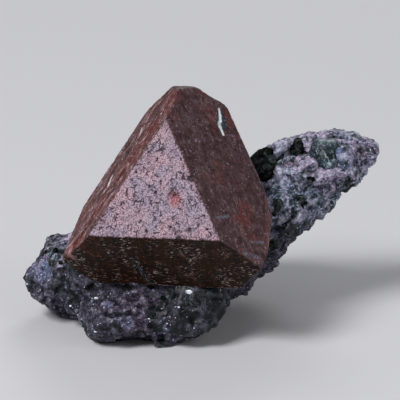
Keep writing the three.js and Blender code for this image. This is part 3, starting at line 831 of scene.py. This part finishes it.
def zunyite_finish():
    """Brown faces with fine growth lines and rusty patches, and frosted pink triangles."""
    made, tree, shader = finish_of("zunyite", Specular_IOR_Level=0.15)
    step, noise, blend, shaded = tree.step, tree.noise, tree.blend, tree.shaded
    lines = on_mesh(tree, "lines", "Vector")
    frosted, edge, dark, rusty = (on_mesh(tree, name) for name in ("frosted", "edge", "dark", "rusty"))
    paler, rusted = 1 - dark, rusty.at_most(1.0)

    cloud = noise(2.4, 4, 0.6, seed=1)
    mottle = noise(0.6, 4, 0.65, seed=2)
    grain = noise(0.15, 2, 0.6, seed=6)
    uneven, gritty = mottle - 0.5, grain - 0.5
    bands = noise(0.7, 5, 0.75, seed=25, at=lines * (0.16, 1, 1))
    browner = stroke(tree, right_face, *BROWNER_BAND, uneven * 1.6)
    rustier = stroke(tree, right_face, *RUSTIER_BAND, uneven * 1.6)
    lean = rusty * 0.12 + rustier * 0.04 - browner * 0.09
    rust = step(cloud + uneven * 0.3 + lean, 0.5, 0.74)
    brown = tree.layered(
        shaded(mottle, 0.32, 0.68, (54, 37, 38), (84, 64, 67)),
        # Painted shade: the dark faces, the underside most, turn deep brown.
        (dark, shaded(mottle, 0.35, 0.65, (12, 4, 0), (38, 19, 5))),
        (rusted * 0.8 * paler, shaded(bands, 0.36, 0.64, (30, 12, 11), (100, 56, 53))),
        (rust * (0.75 - dark * 0.35), blend(dark, (102, 50, 47), (72, 26, 16))),
    )

    wavy = tree.vector("ADD", lines, tree.scaled(noise(1.1, seed=9, output="Color"), 0.45))
    short = dashes(tree, wavy, (1.5, 9, 1), 0.5)
    long = dashes(tree, wavy, (0.4, 5.5, 1.3), 0.6)
    tiny = dashes(tree, wavy, (3.6, 5.6, 1.1), 0.6)
    grooves = dashes(tree, wavy, (0.8, 5.0, 1.7), 0.62)
    patchy = step(noise(1.0, 3, seed=10), 0.4, 0.62)
    clear = step(noise(2.2, 3, seed=24), 0.42, 0.6)
    scratches = dashes(tree, wavy, (0.55, 4.2, 2.1), 0.7) * clear
    pale_dash = blend(dark, (156, 138, 148), blend(clear, (124, 100, 88), (190, 176, 170)))
    scuffs = noise(0.5, 5, 0.85, seed=29, at=wavy * (0.4, 1, 1))
    scuffs = step(scuffs + gritty * 0.35, 0.53, 0.61)
    # Flecks on the underside: striation steps, their brightness painted glints.
    striation_glints = noise(0.11, 2, 0.7, seed=30, at=wavy * (0.27, 1.1, 1))
    striation_glints = step(striation_glints + (patchy + clear) * 0.022, 0.635, 0.69) * dark
    crumb = tree.cells(0.22)
    flecks = step(crumb + gritty * 1.8, 0.5, 0.24) * step(crumb.out("Color").axis(1), 0.78, 0.92)
    brown = tree.layered(
        brown,
        (grooves * (0.22 + rusty * 0.1), (28, 15, 14)),
        (scuffs * rusted * 0.75 * paler, (210, 182, 186)),
        (long * patchy * rusty * 0.35 * paler, (206, 172, 176)),
        # On the underside these pale dashes are striation steps with painted glints.
        (short * patchy * (0.08 + dark * 0.24), pale_dash),
        (tiny * patchy * (0.42 - dark * 0.3), pale_dash),
        (striation_glints * 0.85, blend(clear, (150, 84, 60), (206, 194, 190))),
        (scratches * 0.18 * paler, (176, 150, 158)),
        (flecks * (patchy * 0.75 + 0.1) * paler, (142, 130, 146)),
    )

    frost = noise(1.9, 4, 0.6, seed=5)
    specks = noise(0.34, 4, 0.85, seed=7)
    crowd = (noise(1.2, seed=26) - 0.5) * 0.25
    dots = noise(0.16, 2, 0.7, seed=37)
    bend = tree.scaled(noise(0.4, 3, seed=17, output="Color"), 0.5)
    crack = tree.cells(0.75, "DISTANCE_TO_EDGE", at=tree.vector("ADD", tree.place, bend))
    here = step(noise(0.7, seed=18), 0.51, 0.6)
    cracks = step(crack, 0.11, 0.05) * here * step(grain, 0.32, 0.46)
    pale = tree.layered(
        shaded(frost, 0.35, 0.65, (176, 164, 182), (200, 168, 177)),
        (step(grain, 0.6, 0.36) * 0.9, (106, 82, 98)),
        (step(specks + crowd, 0.48, 0.38) * 0.85, (52, 38, 50)),
        (step(dots + crowd, 0.42, 0.34) * 0.8, (66, 50, 64)),
        (cracks * 0.9, (40, 30, 40)),
    )
    blotch = stroke(tree, front_triangle, *RED_BLOTCH, uneven * 0.9)
    pale = tree.tinted(blotch * 0.6, pale, (255, 150, 150))

    broken = step(on_mesh(tree, "notch") + uneven * 1.4, 0.35, 0.75)
    # Lighter red-brown along the edges: partly wear, partly painted light through the thin edges.
    worn = step(edge + uneven * 0.7, 0.75, 0.95)
    face = tree.layered(
        brown,
        (frosted, pale),
        (broken * 0.85, (34, 24, 28)),
        (worn * (1 - frosted) * (0.2 + rusty * 0.3), (138, 74, 70)),
    )
    wobble = uneven * 0.5 + gritty * 0.35
    glint, smear = step(grain, 0.34, 0.5), step(grain, 0.4, 0.62) * 0.8
    vein = shaded(grain, 0.54, 0.62, (14, 22, 24), (134, 146, 148))
    shade = shaded(grain, 0.5, 0.7, (30, 46, 54), (92, 110, 120))
    for outward, strokes, wobbling, share, over in (
        (left_face, [CORNER_HIGHLIGHT], wobble, 0.4, (196, 142, 142)),
        (left_face, WHITE_GLINTS, wobble, glint, (232, 222, 224)),
        (right_face, PALE_SMEARS, wobble * 1.3, smear, (118, 128, 146)),
        (front_face, VEIN, wobble * 1.3, 0.9, vein),
        (right_face, CHIP_SHADOWS, wobble, 0.85, shade),
        (right_face, CHIP_MARKS, wobble * 0.35, 1.0, (228, 238, 240)),
    ):
        for ends in strokes:
            face = blend(stroke(tree, outward, *ends, wobbling) * share, face, over)

    cut = (grooves + short * 0.6) * -0.5
    height = cut * (1 - frosted) + (grain * 0.5 + specks - cracks) * frosted
    rough = 0.36 + frosted * 0.28 + rusted * 0.2 + dark * 0.12
    wire_up(tree, shader, Base_Color=face, Roughness=rough, Normal=bumped(tree, height, 0.06, 0.7))
    return made


def streaks(tree):
    """Noise drawn out along lines that lean by 54 degrees, seen from the front."""
    turned = {"Vector": tree.place, "Rotation": (0, math.radians(-54), 0.2), "Scale": (4, 1.5, 1)}
    mapped = tree.node("ShaderNodeMapping", {"vector_type": "TEXTURE"}, turned)
    return tree.noise(0.26, 4, 0.7, seed=28, at=mapped)


def rock_finish():
    """Sugary lilac-grey groundmass with dark glassy quartz, blue-grey quartz, and pink and white patches."""
    made, tree, shader = finish_of("altered_rock", Specular_IOR_Level=0.26)
    step, noise, blend, shaded = tree.step, tree.noise, tree.blend, tree.shaded
    glass_spot, slate_spot, feather_spot, blush_spot, lilac_spot, pit = (
        on_mesh(tree, name) for name in ROCK_SPOTS
    )
    hollow, collar, ridge = (on_mesh(tree, name) for name in ("hollow", "collar", "ridge"))
    high = step(tree.place.axis(2) + blush_spot * 2.5, 7.0, 13.0)  # painted shade: the foot darker than the wing, lifted where the groundmass is pink and white

    cloud = noise(3.2, 4, 0.6, seed=11)
    broad = noise(5.5, 3, 0.6, seed=34)
    mottle = noise(0.8, 4, 0.65, seed=12)
    uneven = mottle - 0.5
    grit = noise(0.2, 3, 0.8, seed=27)
    crumb = tree.cells(0.19)
    tone = crumb.out("Color").axis(0)
    tone = tone * tone
    # By high, each palette runs from the foot to the wing: the foot's darker colours are painted shade.
    shadow = blend(high, (17, 18, 25), (28, 44, 58))
    light = blend(high, (104, 97, 122), (206, 224, 252))
    ground = blend(tone * 0.75 + step(mottle, 0.45, 0.7) * 0.25, shadow, light)
    dim = blend(high, (18, 26, 32), (44, 58, 72))
    ground = blend(step(mottle, 0.47, 0.32) * 0.85, ground, dim)
    pink = step(blush_spot + (cloud - 0.5) * 1.6, 0.3, 1.0)
    ground = tree.tinted(pink * 0.55, ground, (255, 206, 228))
    ground = tree.tinted(step(broad, 0.5, 0.38) * 0.6, ground, (150, 156, 168))
    crust = blend(tone, (154, 148, 174), (230, 230, 252))
    crust = tree.tinted(pink * 0.3, crust, (255, 214, 228))
    crusted = step(mottle + blush_spot * 0.06 + collar * 0.16 + (broad - 0.5) * 0.3, 0.6, 0.72)
    ground = blend(crusted * (0.25 + high * 0.65), ground, crust)
    ruddy = step(noise(1.3, 3, 0.6, seed=38), 0.52, 0.64) * high
    ground = tree.tinted(ruddy * 0.75, ground, (255, 212, 216))

    lilac_shadow = blend(high, (80, 84, 112), (70, 84, 116))
    lilac = blend(tone, lilac_shadow, blend(high, (168, 172, 206), (120, 144, 196)))
    bluer = step(lilac_spot + uneven * 0.8, 0.4, 0.8) * (0.6 + high * 0.35)
    ridge = ridge * step(mottle, 0.34, 0.5) * (0.1 + high * 0.7)
    dark = step(glass_spot + uneven * 1.5, 0.6, 0.85)
    dark = dark.at_least(step(noise(1.4, 4, 0.6, seed=14), 0.56, 0.62) * 0.9)
    streak = noise(0.5, 3, 0.7, seed=15, at=tree.place * (1, 1, 3.5))
    shard = (crumb.out("Color").axis(2) - 0.5) * 0.4
    glossy = blend(high, (46, 58, 64), (88, 106, 110))
    bottle = shaded(streak + shard, 0.52, 0.76, (7, 14, 14), glossy)
    slate = step(slate_spot + uneven * 0.8, 0.5, 0.85)
    barb = step(streaks(tree), 0.5, 0.57)
    bluish = shaded(mottle, 0.3, 0.7, (1, 5, 8), (14, 22, 30))
    bluish = blend(barb * step(mottle, 0.5, 0.62) * 0.7, bluish, (58, 72, 84))
    feathery = step(feather_spot + uneven * 1.2, 0.5, 0.9) * (1 - bluer * 0.8)
    feather = blend(barb, (16, 25, 29), blend(high, (94, 102, 122), (146, 158, 176)))

    grey = 1 - dark.at_least(slate).at_least(bluer) * 0.75
    face = tree.layered(
        ground,
        (bluer, lilac),
        (slate, bluish),
        (dark, bottle),
        (feathery, feather),
        (ridge, crust),
        (step(grit, 0.47, 0.33) * 0.55 * grey, (12, 18, 24)),
        (step(grit, 0.56, 0.72) * 0.5 * grey, crust),
    )
    # Painted shade in the hollows: darker towards blue-grey, a little less on the wing.
    face = tree.tinted(step(hollow, 0.0, 0.13) * (0.85 - high * 0.15), face, (70, 86, 100))
    # Painted glints: a few small cells white.
    glint_cells = tree.cells(0.3)
    bright = step(glint_cells, 0.24, 0.14) * step(glint_cells.out("Color").axis(1), 0.93, 0.95)
    face = tree.layered(
        face,
        # Painted highlight: pale crust on the bumps.
        (step(hollow, -0.04, -0.14) * (0.25 + high * 0.25) * grey, crust),
        # Painted shade: the pit near black.
        (pit.at_most(1.0), (8, 8, 10)),
        (bright, (225, 230, 245)),
    )

    shine = dark.at_least(slate * 0.5)
    grain = noise(0.14, 2, 0.6, seed=16)
    height = (grain + crumb) * (1 - shine * 0.6)
    rough, normal = 0.62 - shine * 0.28, bumped(tree, height, 0.09, 0.9)
    wire_up(tree, shader, Base_Color=face, Roughness=rough, Normal=normal)
    return made


STRUCK_PLACE = Vector((13.3, 3.1, 6.1))  # where the big grain in the wing was struck


def quartz_finish(name, deep, pale, streaky, gloss):
    """Dark glassy quartz with pale feathery streaks that fan out from where the glass was struck."""
    made, tree, shader = finish_of(name, Specular_IOR_Level=gloss)
    struck = Vector(crystal_centre / MM) + STRUCK_PLACE
    ray = tree.vector("NORMALIZE", tree.vector("SUBTRACT", tree.place, tuple(struck)))
    sway = tree.scaled(tree.noise(0.6, 3, seed=21, output="Color"), 0.2)
    feather = tree.noise(0.2, 4, 0.75, seed=22, at=tree.vector("ADD", ray, sway))
    cloud = tree.noise(1.1, 3, 0.6, seed=23)
    grit = tree.noise(0.2, 2, 0.7, seed=35)
    face = tree.shaded(cloud + (grit - 0.5) * 0.3, 0.38, 0.62, deep, pale)
    clear = tree.step(tree.noise(0.8, seed=36), 0.42, 0.54, 0.25, 1.0)
    bright = tree.step(feather, 0.51, 0.57) * tree.step(grit, 0.3, 0.46) * clear * streaky
    face = tree.blend(tree.step(feather, 0.48, 0.4) * 0.8, face, deep)
    face = tree.blend(bright, face, (164, 182, 190))
    rough, normal = 0.3 + bright * 0.3, bumped(tree, feather, 0.1, 0.9)
    wire_up(tree, shader, Base_Color=face, Roughness=rough, Normal=normal)
    return made


def chip_finish():
    """Clear to milky quartz."""
    made, tree, shader = finish_of("quartz_chips", Specular_IOR_Level=0.6)
    cloud = tree.noise(0.9, seed=31)
    streaky = tree.noise(0.12, seed=32)
    clear = tree.shaded(streaky, 0.4, 0.6, (150, 160, 178), (216, 222, 236))
    face = tree.shaded(cloud, 0.42, 0.6, clear, (236, 236, 244))
    wire_up(tree, shader, Base_Color=face, Roughness=0.14 + streaky * 0.2)
    return made


crystal = placed("zunyite_crystal_faces", crystal_surface(zunyite_finish()))
rock = placed("rock_surface", rock_surface(rock_finish()))
dark_quartz = quartz_finish("dark_quartz", (1, 6, 2), (4, 14, 9), 0.1, 0.08)
grey_quartz = quartz_finish("grey_quartz", (6, 20, 22), (62, 78, 90), 1.0, 0.3)
finished = [(crystal, "zunyite_crystal", "zunyite"), (rock, "rock_matrix", "matrix_rock")]
shaping = grain_tree()
for node, finish in zip(GRAIN_NODES, (dark_quartz, grey_quartz, dark_quartz)):
    mesh = through(shaping, remeshed(node, GRAIN_CELL, GRAIN_ROUNDS), GRAIN_RELIEF, finish)
    finished.append((placed(node + "_broken", mesh), node, "quartz"))

for piece, node, slot in finished:
    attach(piece, "root")
    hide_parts(node)

milky = chip_finish()
chips = kept_in_box(through(chip_tree(), rock.data.copy(), CHIP_SPREAD, milky))
chips = placed("quartz_chips", chips)
flakes = stuck_on_rock("bright_flakes", rock.data, BRIGHT_FLAKES, FLAKE_SHAPE, FLAKES_LOOK, milky)
shards = stuck_on_rock("dark_shards", rock.data, DARK_SHARDS, SHARD_SHAPE, None, dark_quartz)
for piece in (chips, flakes, shards):
    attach(piece, "root")


# ---- the studio

FLOOR_HALF = 1.5
LIGHT_AIM = Vector((0, 0, 0.01))


def studio_floor():
    mesh = bpy.data.meshes.new("floor")
    corners = [(x * FLOOR_HALF, y * FLOOR_HALF, 0) for x, y in ((-1, -1), (1, -1), (1, 1), (-1, 1))]
    mesh.from_pydata(corners, [], [(0, 1, 2, 3)])
    made, _, _ = finish_of("pale_floor", Roughness=0.9, Base_Color=colour(215, 215, 218))
    mesh.materials.append(made)
    placed("floor", mesh)


def soft_light(name, place, width, power):
    """A square soft box at a place, turned to the part."""
    lamp = bpy.data.lights.new(name, "AREA")
    lamp.shape, lamp.size, lamp.energy = "SQUARE", width, power
    made = placed(name, lamp)
    made.location = place
    made.rotation_euler = (LIGHT_AIM - Vector(place)).to_track_quat("-Z", "Y").to_euler()


studio_floor()
soft_light("key", (-0.26, -0.26, 0.40), 0.20, 2.3)
soft_light("fill", (0.40, -0.20, 0.25), 0.30, 0.4)
soft_light("back", (0.10, 0.45, 0.30), 0.25, 0.8)

world = bpy.data.worlds.new("studio")
world.use_nodes = True
sky = world.node_tree.nodes["Background"]
sky.inputs["Color"].default_value = (0.75, 0.76, 0.8, 1)
sky.inputs["Strength"].default_value = 0.2
bpy.context.scene.world = world
bpy.context.scene.view_settings.view_transform = "Standard"

# The camera looks down by its rise at a point beside the crystal's centre.
CAMERA_AIM = Vector(crystal_centre) + Vector((1.65, 0.3, 0.85)) * MM
CAMERA_RISE = math.radians(18)
CAMERA_DISTANCE = 400 * MM
lens = bpy.data.cameras.new("camera")
lens.lens, lens.sensor_width = 360, 36
lens.clip_start, lens.clip_end = 0.01, 10
camera = placed("camera", lens)
camera.location = CAMERA_AIM + CAMERA_DISTANCE * Vector((0, -math.cos(CAMERA_RISE), math.sin(CAMERA_RISE)))
camera.rotation_euler = (math.pi / 2 - CAMERA_RISE, 0, 0)
bpy.context.scene.camera = camera
